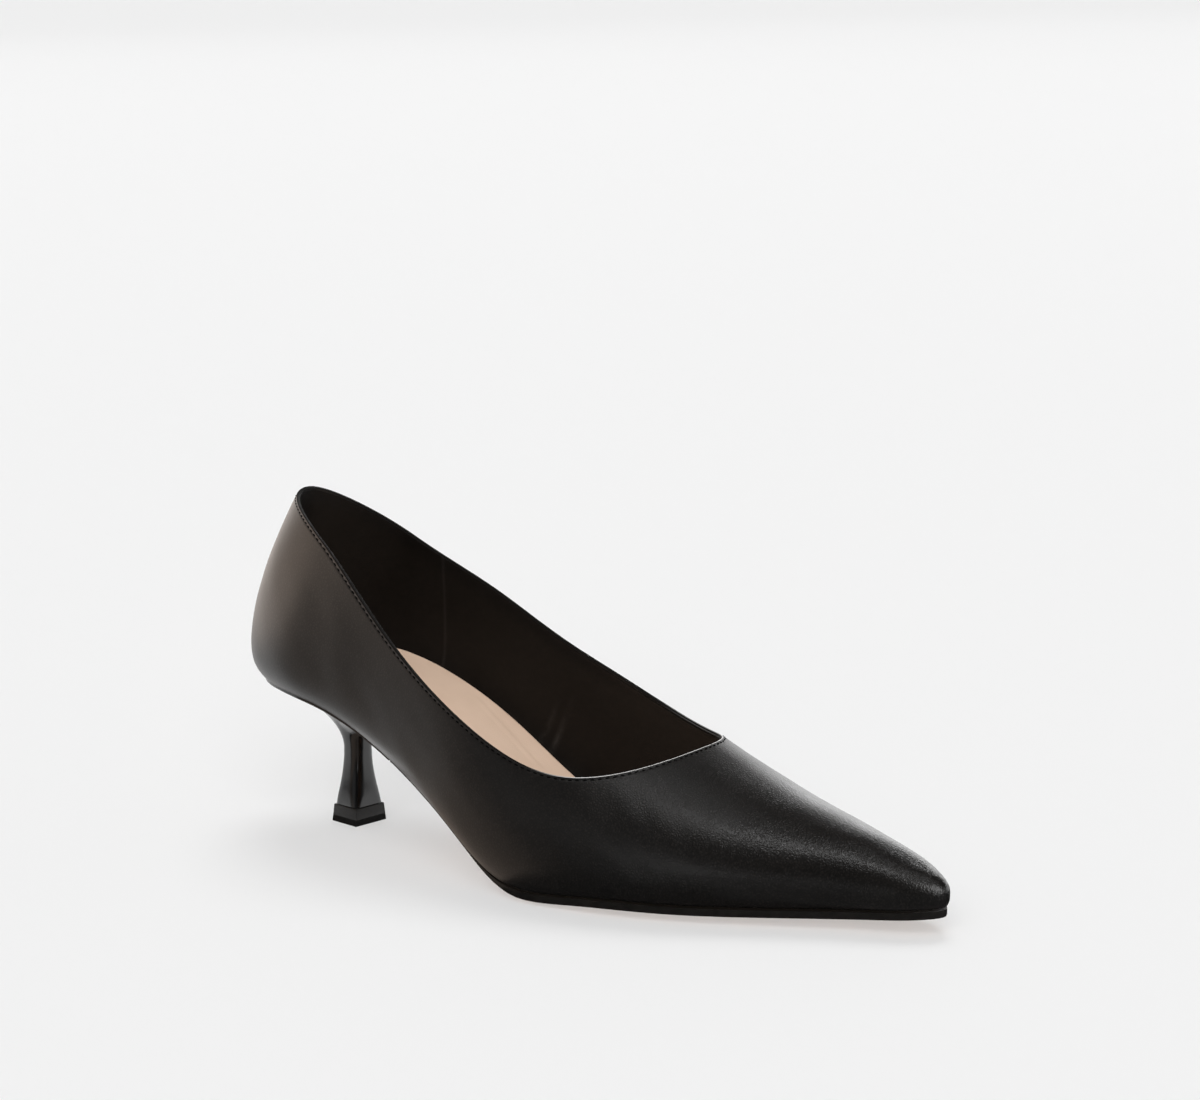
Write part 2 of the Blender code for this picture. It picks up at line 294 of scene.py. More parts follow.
def last_point(share, rise, side, inset):
    """Point of the lasted wall: rise 0 at the feather, 1 at the bulge, 2 at the crest."""
    floor = feather(share, side)
    bulge = last("bulge", share)
    tuck = last("tuck", share)
    reach = half_width(share, side) + tuck - inset
    crest = crest_height(share) - floor - inset
    under = np.clip(1 - rise, 0, 1) ** 3
    turn = np.clip(rise - 1, 0, 1) * math.pi / 2
    low = rise < 1
    up = np.where(low, bulge * rise, bulge + (crest - bulge) * np.sin(turn))
    out = np.where(low, reach - tuck * under, reach * np.cos(turn)) * end_round(share)
    over = np.clip((floor + up - mean_feather(share) - bulge) / (BACK_LEAN_HEIGHT - bulge), 0, None)
    back = inset + np.where(low, BACK_TUCK * under, BACK_LEAN * over**1.5)
    nose = LENGTH - inset - np.where(low, TOE_TUCK * under, NOSE_RECEDE * np.sin(turn) ** NOSE_POWER)
    return np.stack((back + (nose - back) * share, side * out, floor + up), -1)


def wall_normal(share, rise, side):
    """Outward direction of the lasted wall."""
    step = 0.0001
    fore = last_point(np.minimum(share + step, 1), rise, side, 0.0)
    fore = fore - last_point(np.maximum(share - step, 0), rise, side, 0.0)
    up = last_point(share, np.minimum(rise + step, 2), side, 0.0)
    up = up - last_point(share, np.maximum(rise - step, 0), side, 0.0)
    normal = -side * np.cross(fore, up)
    return normal / np.linalg.norm(normal, axis=-1, keepdims=True)


def throat_of(drop):
    """Share of the length at the throat of a collar cut lower by a drop."""
    return THROAT_SHARE + drop / LENGTH


def collar_rise(share, side, drop):
    """How far up the wall a collar lies that is cut lower by a drop."""
    knots = np.append(COLLAR[:, 0], throat_of(drop))
    heights = np.append(COLLAR[:, 1 if side < 0 else 2] - drop, crest_height(np.array([throat_of(drop)])))
    line = spline(knots, heights, np.minimum(share, throat_of(drop))) - feather(share, side)
    bulge = last("bulge", share)
    crest = crest_height(share) - feather(share, side)
    climb = np.clip((line - bulge) / (crest - bulge), 0, 1)
    return np.where(share < throat_of(drop), 1 + np.arcsin(climb) * 2 / math.pi, 2.0)


def stations(drop):
    """Shares of the length from back to toe, closest together at the throat."""
    throat = throat_of(drop)
    turn = np.linspace(0, math.pi / 2, HEEL_STEPS + 1)
    heel = HEEL_ROUND_SHARE * (1 - np.cos(turn))
    run = 1 - np.arange(SIDE_STEPS + 1) / SIDE_STEPS
    side = throat - (throat - HEEL_ROUND_SHARE) * run**SIDE_CLUSTER
    vamp = throat + (TOE_ROUND_SHARE - throat) * np.linspace(0, 1, VAMP_STEPS + 1) ** VAMP_CLUSTER
    turn = np.linspace(0, math.pi / 2, TOE_STEPS + 1)
    toe = TOE_ROUND_SHARE + (1 - TOE_ROUND_SHARE) * np.sin(turn)
    return np.concatenate((heel, side[1:], vamp[1:], toe[1:]))


def bottom_height(share, across):
    """Height of the lasted bottom; across runs from -1 lateral to 1 medial."""
    blend = 0.5 * (1 + across)
    edge = feather(share, LATERAL) * (1 - blend) + feather(share, MEDIAL) * blend
    return edge - last("crown", share) * (1 - across**2) * end_round(share)


def bottom_plan(share, across, out):
    """Plan position on the lasted bottom, with the outline moved out by a distance."""
    back = BACK_TUCK - out
    nose = LENGTH - TOE_TUCK + out
    half = half_at(share, across) + out
    return back + (nose - back) * share, across * half * end_round(share)


# Making and finishing meshes
def deselect():
    if bpy.context.object and bpy.context.object.mode != "OBJECT":
        bpy.ops.object.mode_set(mode="OBJECT")
    bpy.ops.object.select_all(action="DESELECT")


def edit(piece):
    """Enter edit mode on one piece alone."""
    deselect()
    piece.select_set(True)
    bpy.context.view_layer.objects.active = piece
    bpy.ops.object.mode_set(mode="EDIT")


def select_faces(piece, chosen):
    """Enter edit mode on a piece with only the chosen faces selected."""
    edit(piece)
    bpy.ops.mesh.select_mode(type="FACE")
    bpy.ops.mesh.select_all(action="DESELECT")
    bpy.ops.object.mode_set(mode="OBJECT")
    piece.data.polygons.foreach_set("select", np.asarray(chosen, bool))
    bpy.ops.object.mode_set(mode="EDIT")


def flat_lattice(name, columns, rows):
    """A flat grid to lay over a form, and each vertex's column and row in it."""
    deselect()
    bpy.ops.mesh.primitive_grid_add(x_subdivisions=columns, y_subdivisions=rows, size=2.0)
    piece = bpy.context.object
    piece.name = piece.data.name = name
    spots = np.empty(len(piece.data.vertices) * 3)
    piece.data.vertices.foreach_get("co", spots)
    spots = spots.reshape(-1, 3)
    column = np.rint((spots[:, 0] + 1) / 2 * columns).astype(int)
    row = np.rint((spots[:, 1] + 1) / 2 * rows).astype(int)
    return piece, column, row


def lay(piece, points):
    """Set the vertices of a piece to points in the last's frame."""
    piece.data.vertices.foreach_set("co", (np.asarray(points) * MM + SHIFT).ravel())
    piece.data.update()


def weld(piece, angle):
    """Close the seams, turn the faces out and shade smooth up to an angle in degrees."""
    edit(piece)
    bpy.ops.mesh.select_all(action="SELECT")
    bpy.ops.mesh.remove_doubles(threshold=0.01 * MM)
    bpy.ops.mesh.dissolve_degenerate(threshold=0.004 * MM)
    bpy.ops.mesh.normals_make_consistent(inside=False)
    bpy.ops.object.mode_set(mode="OBJECT")
    bpy.ops.object.shade_smooth_by_angle(angle=math.radians(angle))
    return piece


def wrap(name, rings, angle, second=(0, 0)):
    """A closed skin over rings of points, with its second material between two points of each ring."""
    rings = np.asarray(rings)
    count, around = rings.shape[:2]
    piece, column, row = flat_lattice(name, count - 1, around)
    lay(piece, rings[column, row % around])
    rows = row[[tuple(face.vertices) for face in piece.data.polygons]]
    chosen = (rows.min(1) >= second[0]) & (rows.max(1) <= second[1])
    piece.data.polygons.foreach_set("material_index", chosen.astype(int))
    return weld(piece, angle)


def place_in_row(piece, node, slot, *materials):
    """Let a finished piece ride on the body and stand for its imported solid."""
    for material in materials:
        piece.data.materials.append(material)
    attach(piece, "root")
    if node:
        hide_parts(node)
    return piece


# Lasted shells: the leather and its lining
def collar_frame(drop):
    """Edge, outward and upward directions round the collar, from the throat by the lateral side."""
    share = stations(drop)[:HEEL_STEPS + SIDE_STEPS + 1]
    edges, normals = [], []
    for side in (LATERAL, MEDIAL):
        top = collar_rise(share, side, drop)
        edges.append(last_point(share, top, side, 0.0))
        normals.append(wall_normal(share, top, side))
    for end in (0, -1):
        mean = normals[0][end] + normals[1][end]
        normals[0][end] = normals[1][end] = mean / np.linalg.norm(mean)
    edge = np.vstack((edges[0][::-1], edges[1][1:-1]))
    normal = np.vstack((normals[0][::-1], normals[1][1:-1]))
    along = np.roll(edge, -1, 0) - np.roll(edge, 1, 0)
    along /= np.linalg.norm(along, axis=1, keepdims=True)
    upward = np.cross(along, normal)
    upward /= np.linalg.norm(upward, axis=1, keepdims=True)
    return edge, along, normal, upward


def wall_rises(share, side, drop, inset, rows, near):
    """Rise of every row at every station, spaced by length, with close rows under the collar."""
    top = collar_rise(share, side, drop)
    part = np.linspace(0, 1, RISE_STEPS + 1)
    rise = 1 + (top[:, None] - 1) * part
    points = last_point(np.repeat(share[:, None], len(part), 1), rise, side, inset)
    steps = np.linalg.norm(np.diff(points, axis=1), axis=2)
    length = np.hstack((np.zeros((len(share), 1)), np.cumsum(steps, 1)))
    found = []
    for k in range(len(share)):
        span = length[k, -1]
        even = np.linspace(0, span - near[0], rows + 1)
        found.append(np.interp(np.append(even, span - np.array(near[1:])), length[k], rise[k]))
    return np.array(found)


def shell_half(side, inset, wall, rim_wall, drop, shape):
    """Grid of one side of a shell: up the outside, over the rim, down the inside to the feather."""
    share = stations(drop)
    throat = HEEL_STEPS + SIDE_STEPS
    bulge = last("bulge", share)[:, None]
    steps = np.linspace(0, 1, LOW_ROWS + 1)[:-1]
    outer_rise = np.hstack((
        np.array(ROLL_ROWS) / bulge,
        EDGE_ROLL / bulge + (1 - EDGE_ROLL / bulge) * steps,
        wall_rises(share, side, drop, inset, HIGH_ROWS, NEAR_COLLAR),
    ))
    inner_rise = np.hstack((
        np.repeat(steps[None, ::2], len(share), 0),
        wall_rises(share, side, drop, inset + wall, INNER_ROWS, NEAR_INSIDE),
    ))[:, ::-1]
    outer_share = np.repeat(share[:, None], outer_rise.shape[1], 1)
    inner_share = np.repeat(share[:, None], inner_rise.shape[1], 1)
    outer = last_point(outer_share, outer_rise, side, inset)
    outer += shape(outer, outer_share, outer_rise, side, True)
    inner = last_point(inner_share, inner_rise, side, inset + wall)
    inner += shape(inner, inner_share, inner_rise, side, False)

    _, _, normal, upward = collar_frame(drop)
    order = np.arange(throat + 1)
    order = throat - order if side < 0 else (throat + order) % len(normal)
    edge = outer[:throat + 1, -1]
    normal, upward = normal[order], upward[order]
    radius = 0.5 * rim_wall
    far_edge = edge - rim_wall * normal
    depth = np.cumsum(np.linalg.norm(np.diff(inner[:throat + 1], axis=1), axis=2), 1)
    depth = np.hstack((np.zeros((throat + 1, 1)), depth))
    fade = (1 - smooth_step(0, RIM_FADE, depth))[..., None]
    inner[:throat + 1] += fade * (far_edge - inner[:throat + 1, 0])[:, None]

    turn = np.linspace(0, math.pi, RIM_STEPS + 1)[1:-1, None, None]
    over = radius * np.sign(np.cos(turn)) * np.abs(np.cos(turn)) ** RIM_SQUARE
    rim = np.repeat(outer[None, :, -1], RIM_STEPS - 1, 0)
    rim[:, :throat + 1] = edge + (over - radius) * normal + RIM_HEIGHT * np.sin(turn) ** RIM_SQUARE * upward
    rim = rim.transpose(1, 0, 2)
    grid = np.concatenate((outer, rim, inner, outer[:, :1]), 1)
    # Painted highlight: a pale line on the rim's outer corner and, fainter, its inner corner, growing toward
    # the throat
    painted_rim_glint = np.zeros(grid.shape[:2])
    around = np.linspace(0, math.pi, RIM_STEPS + 1)[:-1]
    inner_corner = np.where(around > math.pi / 2, np.sin(2 * around) ** 2, 0.0)
    corner = 1 - smooth_step(*GLINT_TURNS, around) + INNER_GLINT * inner_corner
    along_rim = GLINT_ALONG + (1 - GLINT_ALONG) * smooth_step(*GLINT_SHARES, share[:throat + 1])
    first = outer.shape[1] - 1
    painted_rim_glint[:throat + 1, first:first + RIM_STEPS] = np.maximum(np.outer(along_rim, corner), CUT_EDGE)
    return grid, painted_rim_glint, first


def lasted_shell(name, inset, wall, rim_wall, drop, shape):
    """A closed shell on the last, open at the collar and underneath."""
    half_lateral, rim_glints_lateral, rim_row = shell_half(LATERAL, inset, wall, rim_wall, drop, shape)
    half_medial, rim_glints_medial, rim_row = shell_half(MEDIAL, inset, wall, rim_wall, drop, shape)
    grid = np.concatenate((half_lateral[::-1], half_medial[1:]))
    rim_glints = np.concatenate((rim_glints_lateral[::-1], rim_glints_medial[1:]))
    toe = len(half_lateral) - 1
    throat = HEEL_STEPS + SIDE_STEPS
    piece, column, row = flat_lattice(name, grid.shape[0] - 1, grid.shape[1] - 1)
    lay(piece, grid[column, row])
    # Each point keeps its share of the rim's painted highlight
    piece.data.attributes.new("rim_glint", "FLOAT", "POINT").data.foreach_set("value", rim_glints[column, row])
    corners = np.empty(len(piece.data.loops), int)
    piece.data.loops.foreach_get("vertex_index", corners)
    corners = corners.reshape(-1, 4)
    station = np.abs(column - toe)[corners].min(1)
    rows = row[corners]
    web = (station >= throat) & (rows.min(1) >= rim_row) & (rows.max(1) <= rim_row + RIM_STEPS)
    select_faces(piece, web)
    bpy.ops.mesh.delete(type="ONLY_FACE")
    bpy.ops.object.mode_set(mode="OBJECT")
    return weld(piece, 50)


collar_edge, collar_along, collar_normal, collar_up = collar_frame(RIM_HEIGHT)
edge_tree = KDTree(len(collar_edge))
for number, spot in enumerate(collar_edge):
    edge_tree.insert(spot, number)
edge_tree.balance()


def below_edge(points):
    """Distance of each point from the collar's edge."""
    spots = points.reshape(-1, 3)
    near = np.array([edge_tree.find(spot)[1] for spot in spots])
    before = collar_edge[(near - 1) % len(collar_edge)]
    after = collar_edge[(near + 1) % len(collar_edge)]
    here = collar_edge[near]
    best = np.full(len(spots), np.inf)
    for a, b in ((before, here), (here, after)):
        run = b - a
        t = np.clip(((spots - a) * run).sum(1) / (run * run).sum(1), 0, 1)
        best = np.minimum(best, np.linalg.norm(spots - a - t[:, None] * run, axis=1))
    return best.reshape(points.shape[:-1])


def from_line(points, a, b):
    """Distance of each point from the line between two points."""
    run = b - a
    t = np.clip((points - a) @ run / (run @ run), 0, 1)
    return np.linalg.norm(points - a - t[..., None] * run, axis=-1)


def crease_height(points, side):
    """Rise of the leather where soft creases lie, each a trough beside a lower ridge."""
    height = np.zeros(points.shape[:-1])
    for crease_side, share_a, rise_a, share_b, rise_b, depth, width in CREASES:
        if crease_side == side:
            start = last_point(np.array(share_a), np.array(rise_a), side, 0.0)
            end = last_point(np.array(share_b), np.array(rise_b), side, 0.0)
            distance = from_line(points, start, end)
            height -= depth * np.exp(-(distance / width) ** 2)
            height += 0.5 * depth * np.exp(-((distance - 2 * width) / width) ** 2)
    return height


def leather_shape(points, share, rise, side, outside):
    """Small moves that make the lasted leather: sewn groove, creases and the rolled lower edge."""
    if not outside:
        return np.zeros_like(points)
    normal = wall_normal(share, rise, side)
    wave = np.zeros(points.shape[:-1])
    for weight, first, second in WAVES:
        wave += weight * np.sin(points @ first[:3] + first[3]) * np.sin(points @ second[:3] + second[3])
    distance = below_edge(points)
    calm = smooth_step(*CALM_BELOW_EDGE, distance) * smooth_step(*CALM_ABOVE_FEATHER, rise)
    groove = GROOVE_DEPTH * np.exp(-((distance - STITCH_DROP) / GROOVE_WIDTH) ** 2)
    height = rise * last("bulge", share)
    roll = EDGE_ROLL * (1 - np.sqrt(1 - np.clip(1 - height / EDGE_ROLL, 0, 1) ** 2))
    roll *= smooth_step(*ROLL_SHARES, share)
    uneven = (UNEVEN * wave + crease_height(points, side)) * calm
    return normal * (uneven - groove - roll)[..., None]


def lining_shape(points, share, rise, side, outside):
    """The lining lies flat against the leather."""
    return np.zeros_like(points)


def make_upper():
    """Lasted leather, turned over at the collar."""
    piece = lasted_shell("upper_leather", 0.0, LEATHER, LEATHER, RIM_HEIGHT, leather_shape)
    place_in_row(piece, "upper", "upper", smooth_leather(), cut_edge())
    # The rim's faces, found by their painted-highlight values, take the cut edge's material
    rim_glints = [item.value for item in piece.data.attributes["rim_glint"].data]
    on_rim = [int(min(rim_glints[i] for i in face.vertices) > 0.5 * CUT_EDGE) for face in piece.data.polygons]
    piece.data.polygons.foreach_set("material_index", on_rim)
    return piece


def make_lining():
    """Thin black lining inside the leather."""
    piece = lasted_shell("lining", LINING_INSET, LINING, LINING_TOP, RIM_HEIGHT + LINING_DROP, lining_shape)
    return place_in_row(piece, None, "upper", black_lining())


def evenly_along(closed, pitch):
    """Places at an even pitch round a closed line, as index and share of the step."""
    step = np.linalg.norm(np.roll(closed, -1, 0) - closed, axis=1)
    run = np.concatenate(((0.0,), np.cumsum(step)))
    count = int(run[-1] // pitch)
    wanted = (np.arange(count) + 0.5) * run[-1] / count
    index = np.searchsorted(run, wanted, side="right") - 1
    return index, (wanted - run[index]) / step[index]


def make_stitches():
    """One row of thread under the collar, each stitch sunk at its ends."""
    deselect()
    bpy.ops.mesh.primitive_uv_sphere_add(segments=8, ring_count=6, radius=0.5)
    model = bpy.context.object
    model.name = model.data.name = "collar_stitches"
    bpy.ops.object.mode_set(mode="EDIT")
    bpy.ops.mesh.select_all(action="SELECT")
    bpy.ops.transform.rotate(value=math.pi / 2, orient_axis="Y", center_override=(0, 0, 0))
    bpy.ops.transform.resize(value=(STITCH_LENGTH, THREAD, THREAD))
    bpy.ops.object.mode_set(mode="OBJECT")
    shape = np.array([v.co[:] for v in model.data.vertices])
    shape[:, 2] -= STITCH_SINK * (2 * shape[:, 0] / STITCH_LENGTH) ** 4

    line = collar_edge - collar_up * STITCH_DROP
    index, part = evenly_along(line, STITCH_PITCH)
    after = (index + 1) % len(line)
    copies = []
    for i, j, t in zip(index, after, part):
        spot, run, out = ((1 - t) * a[i] + t * a[j] for a in (line, collar_along, collar_normal))
        run = run / np.linalg.norm(run)
        out = out - run * (out @ run)
        out = out / np.linalg.norm(out)
        cross = np.cross(out, run)
        place = spot - out * (GROOVE_DEPTH - STITCH_PROUD)
        points = place + shape[:, :1] * run + shape[:, 1:2] * cross + shape[:, 2:] * out
        stitch = model if not copies else bpy.data.objects.new("stitch", model.data.copy())
        if copies:
            bpy.context.collection.objects.link(stitch)
        copies.append((stitch, points))
    deselect()
    for stitch, points in copies:
        lay(stitch, points)
        stitch.select_set(True)
    bpy.context.view_layer.objects.active = model
    bpy.ops.object.join()
    bpy.ops.object.shade_smooth()
    return place_in_row(model, None, "upper", sewing_thread())


def inside_plan(share, across, height):
    """Plan position within the lining at a height over the lasted bottom."""
    under = np.clip(1 - height / last("bulge", share), 0, 1) ** 3
    back = BACK_TUCK * under + SOCK_INSET
    nose = LENGTH - TOE_TUCK * under - SOCK_INSET
    half = half_at(share, across) + last("tuck", share) * (1 - under) - SOCK_INSET
    return back + (nose - back) * share, across * half * end_round(share)


def make_sock():
    """Padded sock over the insole board: raised under the arch beyond a soft ridge, its edge rolled down."""
    across = np.linspace(-1, 1, SOCK_ACROSS + 1)
    rings = []
    for share in stations(0.0):
        place = np.full_like(across, share)
        thick = SOCK_AT_SEAT + (SOCK_AT_TOE - SOCK_AT_SEAT) * share
        ridge = RIDGE_ACROSS + RIDGE_TURN * (np.clip(share, *RIDGE_SHARES) - RIDGE_SHARES[0])
        wing = max(float(spline(*ARCH_WING.T, min(share, ARCH_WING[-1, 0]))), 0.0)
        along = smooth_step(*RIDGE_RISES, share) * (1 - smooth_step(*RIDGE_FALLS, share))
        x, y = bottom_plan(place, across, -SOCK_INSET)
        floor = bottom_height(place, across)
        top_x, top_y = inside_plan(place, across, thick)
        reach = np.maximum(np.abs(top_y[[0, -1]]), 1e-6)
        inside = np.minimum(reach[0] + top_y, reach[1] - top_y)
        roll = np.clip(1 - inside / SOCK_EDGE, 0, 1)
        top = floor + thick - SOCK_EDGE * (1 - np.sqrt(1 - SOCK_EDGE_STEEP * roll**2))
        top += wing * smooth_step(ridge, 1.0, across)
        top += along * RIDGE_HEIGHT * np.exp(-((across - ridge) * reach[1] / RIDGE_WIDTH) ** 2)
        rings.append(np.vstack((np.stack((x, y, floor), -1), np.stack((top_x, top_y, top), -1)[::-1])))
    piece = wrap("sock", rings, 60)
    return place_in_row(piece, "insole", "insole", beige_sock())


def make_outsole():
    """Thin sole from the heel breast to the toe, flat where it treads."""
    across = np.linspace(-1, 1, ACROSS + 1)
    shares = stations(0.0)
    shares = np.append(BREAST_SHARE, shares[shares > BREAST_SHARE + BREAST_STEP_SHARE])
    rings = []
    for share in shares:
        place = np.full_like(across, share)
        fore = smooth_step(WAIST_SHARE, FOREPART_SHARE, share)
        thick = SOLE_WAIST + (SOLE_FOREPART - SOLE_WAIST) * fore
        out = WAIST_OUT + (SOLE_OUT - WAIST_OUT) * fore
        inward = WAIST_BEVEL + (SOLE_BEVEL - WAIST_BEVEL) * fore
        deep = WAIST_EDGE + (SOLE_FOREPART - SOLE_BEVEL - WAIST_EDGE) * fore
        x, y = bottom_plan(place, across, out)
        low_x, low_y = bottom_plan(place, across, out - inward)
        roof = bottom_height(place, across) - GAP
        tread = np.maximum(roof - thick, 0.0)
        bevel = roof - (roof - tread) * deep / thick
        sides = []
        for end in (-1, 0):
            high = np.array((x[end], y[end], bevel[end]))
            low = np.array((low_x[end], low_y[end], tread[end]))
            share_down = np.array((SOLE_EDGE_MIDDLE, SOLE_EDGE_MIDDLE, 1 - SOLE_EDGE_MIDDLE))
            edge = (high, high + (low - high) * share_down)
            sides.append(np.array(edge if end else edge[::-1]))
        top_row = np.stack((x, y, roof), -1)
        low_row = np.stack((low_x, low_y, tread), -1)[::-1]
        rings.append(np.vstack((top_row, sides[0], low_row, sides[1])))
    breast = rings[0].copy()
    breast_across = np.clip(breast[:, 1] / BREAST_HALF, -1, 1)
    breast[:, 2] = bottom_height(np.full(len(breast), BREAST_SHARE), breast_across) - BREAST_THICK
    first_low = ACROSS + 1 + len(sides[0])
    piece = wrap("outsole_leather", [breast] + rings, 40, (first_low, first_low + ACROSS))
    return place_in_row(piece, "outsole", "outsole", sole_edge(), sole_tread())


def column_ring(height, half_length, half_across, square):
    """Rounded square section of the heel, turned to the line of the seat."""
    turn = np.arange(HEEL_POINTS) * 2 * math.pi / HEEL_POINTS
    power = 2 / square
    along = half_length * np.sign(np.cos(turn)) * np.abs(np.cos(turn)) ** power
    cross = half_across * np.sign(np.sin(turn)) * np.abs(np.sin(turn)) ** power
    x = HEEL_X + HEEL_RAKE * height + along * math.cos(HEEL_TURN) - cross * math.sin(HEEL_TURN)
    y = HEEL_Y + along * math.sin(HEEL_TURN) + cross * math.cos(HEEL_TURN)
    return np.stack((x, y, np.full_like(x, height)), -1)


def seat_outline(front):
    """Plan of the heel cup: round at the back and straight across at the front."""
    share = np.linspace(0, 1, SEAT_STEPS + 1) ** 2 * front
    lateral = np.stack(bottom_plan(share, np.full_like(share, LATERAL), 0.0), -1)
    medial = np.stack(bottom_plan(share, np.full_like(share, MEDIAL), 0.0), -1)
    breast = lateral[-1] + (medial[-1] - lateral[-1]) * np.linspace(0, 1, SEAT_FRONT_STEPS + 1)[1:-1, None]
    return np.vstack((medial[::-1], lateral[1:], breast)), lateral[-1], medial[-1]


def seat_ring(neck, front):
    """Point of the cup's outline straight out from each point of the column's neck."""
    outline, *corners = seat_outline(front)
    centre = neck[:, :2].mean(0)
    spread = outline - centre
    bearing = np.unwrap(np.arctan2(spread[:, 1], spread[:, 0]))
    order = np.argsort(bearing)
    bearing, distance = bearing[order], np.hypot(*spread[order].T)
    aim = np.arctan2(*(neck[:, :2] - centre).T[::-1])
    aim = bearing[0] + np.mod(aim - bearing[0], 2 * math.pi)
    reach = np.interp(aim, np.append(bearing, bearing[0] + 2 * math.pi), np.append(distance, distance[0]))
    ring = centre + np.stack((reach * np.cos(aim), reach * np.sin(aim)), -1)
    for corner in corners:
        ring[np.argmin(np.hypot(*(ring - corner).T))] = corner
    return ring


def seat_height(plan):
    """Height of the lasted bottom over a plan position under the seat."""
    share = np.clip((plan[:, 0] - BACK_TUCK) / (LENGTH - TOE_TUCK - BACK_TUCK), 0, 1)
    return bottom_height(share, np.clip(plan[:, 1] / half_at(share, plan[:, 1]), -1, 1))


def make_heel():
    """Thin cup under the seat that sweeps into a slim column flaring to its foot."""
    neck = column_ring(*COLUMN[-1])
    centre = neck[:, :2].mean(0)
    edge = seat_ring(neck, BREAST_SHARE - GAP / LENGTH)
    rings = []
    for part in SEAT_PARTS:
        plan = centre + (edge - centre) * part
        rings.append(np.column_stack((plan, seat_height(plan) - SEAT_GAP)))
    rim = CUP_EDGE_AT_BACK + (CUP_EDGE - CUP_EDGE_AT_BACK) * smooth_step(BACK_TUCK, HEEL_X, edge[:, 0])
    rim += (CUP_EDGE_AT_BREAST - CUP_EDGE) * smooth_step(HEEL_X, BREAST_SHARE * LENGTH, edge[:, 0])
    lip = np.column_stack((edge, seat_height(edge) - SEAT_GAP - rim))
    drop = NECK_TILT * (neck[:, 0] - centre[0]) / COLUMN[-1, 1]
    neck[:, 2] -= drop
    for turn in np.linspace(math.pi / 2, 0, SWEEP_STEPS + 1):
        plan = neck[:, :2] + (lip - neck)[:, :2] * (1 - math.cos(turn))
        climb = (1 - CUP_SLOPE) * math.sin(turn) + CUP_SLOPE * (1 - math.cos(turn))
        rings.append(np.column_stack((plan, neck[:, 2] + (lip - neck)[:, 2] * climb)))
    for height in np.linspace(COLUMN[-1, 0], COLUMN[0, 0], COLUMN_STEPS + 1)[1:]:
        ring = column_ring(height, *(spline(COLUMN[:, 0], COLUMN[:, i], height) for i in (1, 2, 3)))
        ring[:, 2] -= drop * smooth_step(COLUMN[-2, 0], COLUMN[-1, 0], height)
        rings.append(ring)
    foot = rings[-1]
    middle = foot.mean(0)
    for part in FOOT_PARTS:
        rings.append(middle + (foot - middle) * part)
    piece = wrap("heel_block", rings, 40)
    return place_in_row(piece, "heel", "heel", polished_heel())


def make_top_piece():
    """Wearing block under the column: a square block flared downwards, its edges eased."""
    deselect()
    bpy.ops.mesh.primitive_cube_add(size=1.0)
    piece = bpy.context.object
    piece.name = piece.data.name = "heel_tip"
    bpy.ops.object.mode_set(mode="EDIT")
    bpy.ops.mesh.select_all(action="SELECT")
    bpy.ops.transform.resize(value=(2 * TIP_TOP[0] * MM, 2 * TIP_TOP[1] * MM, TOP_PIECE_HEIGHT * MM))
    bpy.ops.object.mode_set(mode="OBJECT")
    select_faces(piece, [face.normal.z < -0.5 for face in piece.data.polygons])
    bpy.ops.transform.resize(value=(TIP_BOTTOM[0] / TIP_TOP[0], TIP_BOTTOM[1] / TIP_TOP[1], 1.0))
    bpy.ops.mesh.select_all(action="SELECT")
    bpy.ops.mesh.bevel(offset=TOP_PIECE_BEVEL * MM, segments=4, profile=0.5, affect="EDGES")
    bpy.ops.transform.rotate(value=-HEEL_TURN, orient_axis="Z", center_override=(0, 0, 0))
    centre = np.array((HEEL_X, HEEL_Y, 0.5 * TOP_PIECE_HEIGHT)) * MM + SHIFT
    bpy.ops.transform.translate(value=tuple(centre))
    bpy.ops.object.mode_set(mode="OBJECT")
    bpy.ops.object.shade_smooth_by_angle(angle=math.radians(35))
    return place_in_row(piece, "top_piece", "top_piece", heel_rubber())


# Finishes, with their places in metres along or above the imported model
GLOSS_REACH = (0.03, 0.075)
GLOSS_ROUGHNESS = (0.42, 0.275)
GRAIN_REACH = (-0.03, 0.05)
GRAIN_DEPTH = (0.3, 1.0)
WRINKLE_HEIGHTS = (0.030, 0.046)


def add_node(tree, kind, **settings):
    made = tree.nodes.new(kind)
    for name, value in settings.items():
        setattr(made, name, value)
    return made


def new_group(name, inputs, outputs):
    """An empty shader group with its sockets, each a name, a kind and a start value."""
    tree = bpy.data.node_groups.new(name, "ShaderNodeTree")
    for title, kind, start in inputs:
        socket = tree.interface.new_socket(title, in_out="INPUT", socket_type=kind)
        if start is not None:
            socket.default_value = start
    for title, kind in outputs:
        tree.interface.new_socket(title, in_out="OUTPUT", socket_type=kind)
    return tree, tree.nodes.new("NodeGroupInput"), tree.nodes.new("NodeGroupOutput")


def math_node(tree, operation, a, b, clamp=False):
    """A math node on two sockets or numbers, giving its output."""
    made = add_node(tree, "ShaderNodeMath", operation=operation, use_clamp=clamp)
    for place, value in enumerate((a, b)):
        if isinstance(value, (int, float)):
            made.inputs[place].default_value = value
        else:
            tree.links.new(value, made.inputs[place])
    return made.outputs[0]


def remap(tree, value, low, high, to_low, to_high):
    made = add_node(tree, "ShaderNodeMapRange", clamp=True)
    tree.links.new(value, made.inputs["Value"])
    for name, number in (("From Min", low), ("From Max", high), ("To Min", to_low), ("To Max", to_high)):
        made.inputs[name].default_value = number
    return made.outputs["Result"]


def noise(tree, vector, scale, detail):
    """A noise texture on a vector, its scale a socket or a number."""
    made = add_node(tree, "ShaderNodeTexNoise")
    tree.links.new(vector, made.inputs["Vector"])
    if isinstance(scale, float):
        made.inputs["Scale"].default_value = scale
    else:
        tree.links.new(scale, made.inputs["Scale"])
    made.inputs["Detail"].default_value = detail
    return made


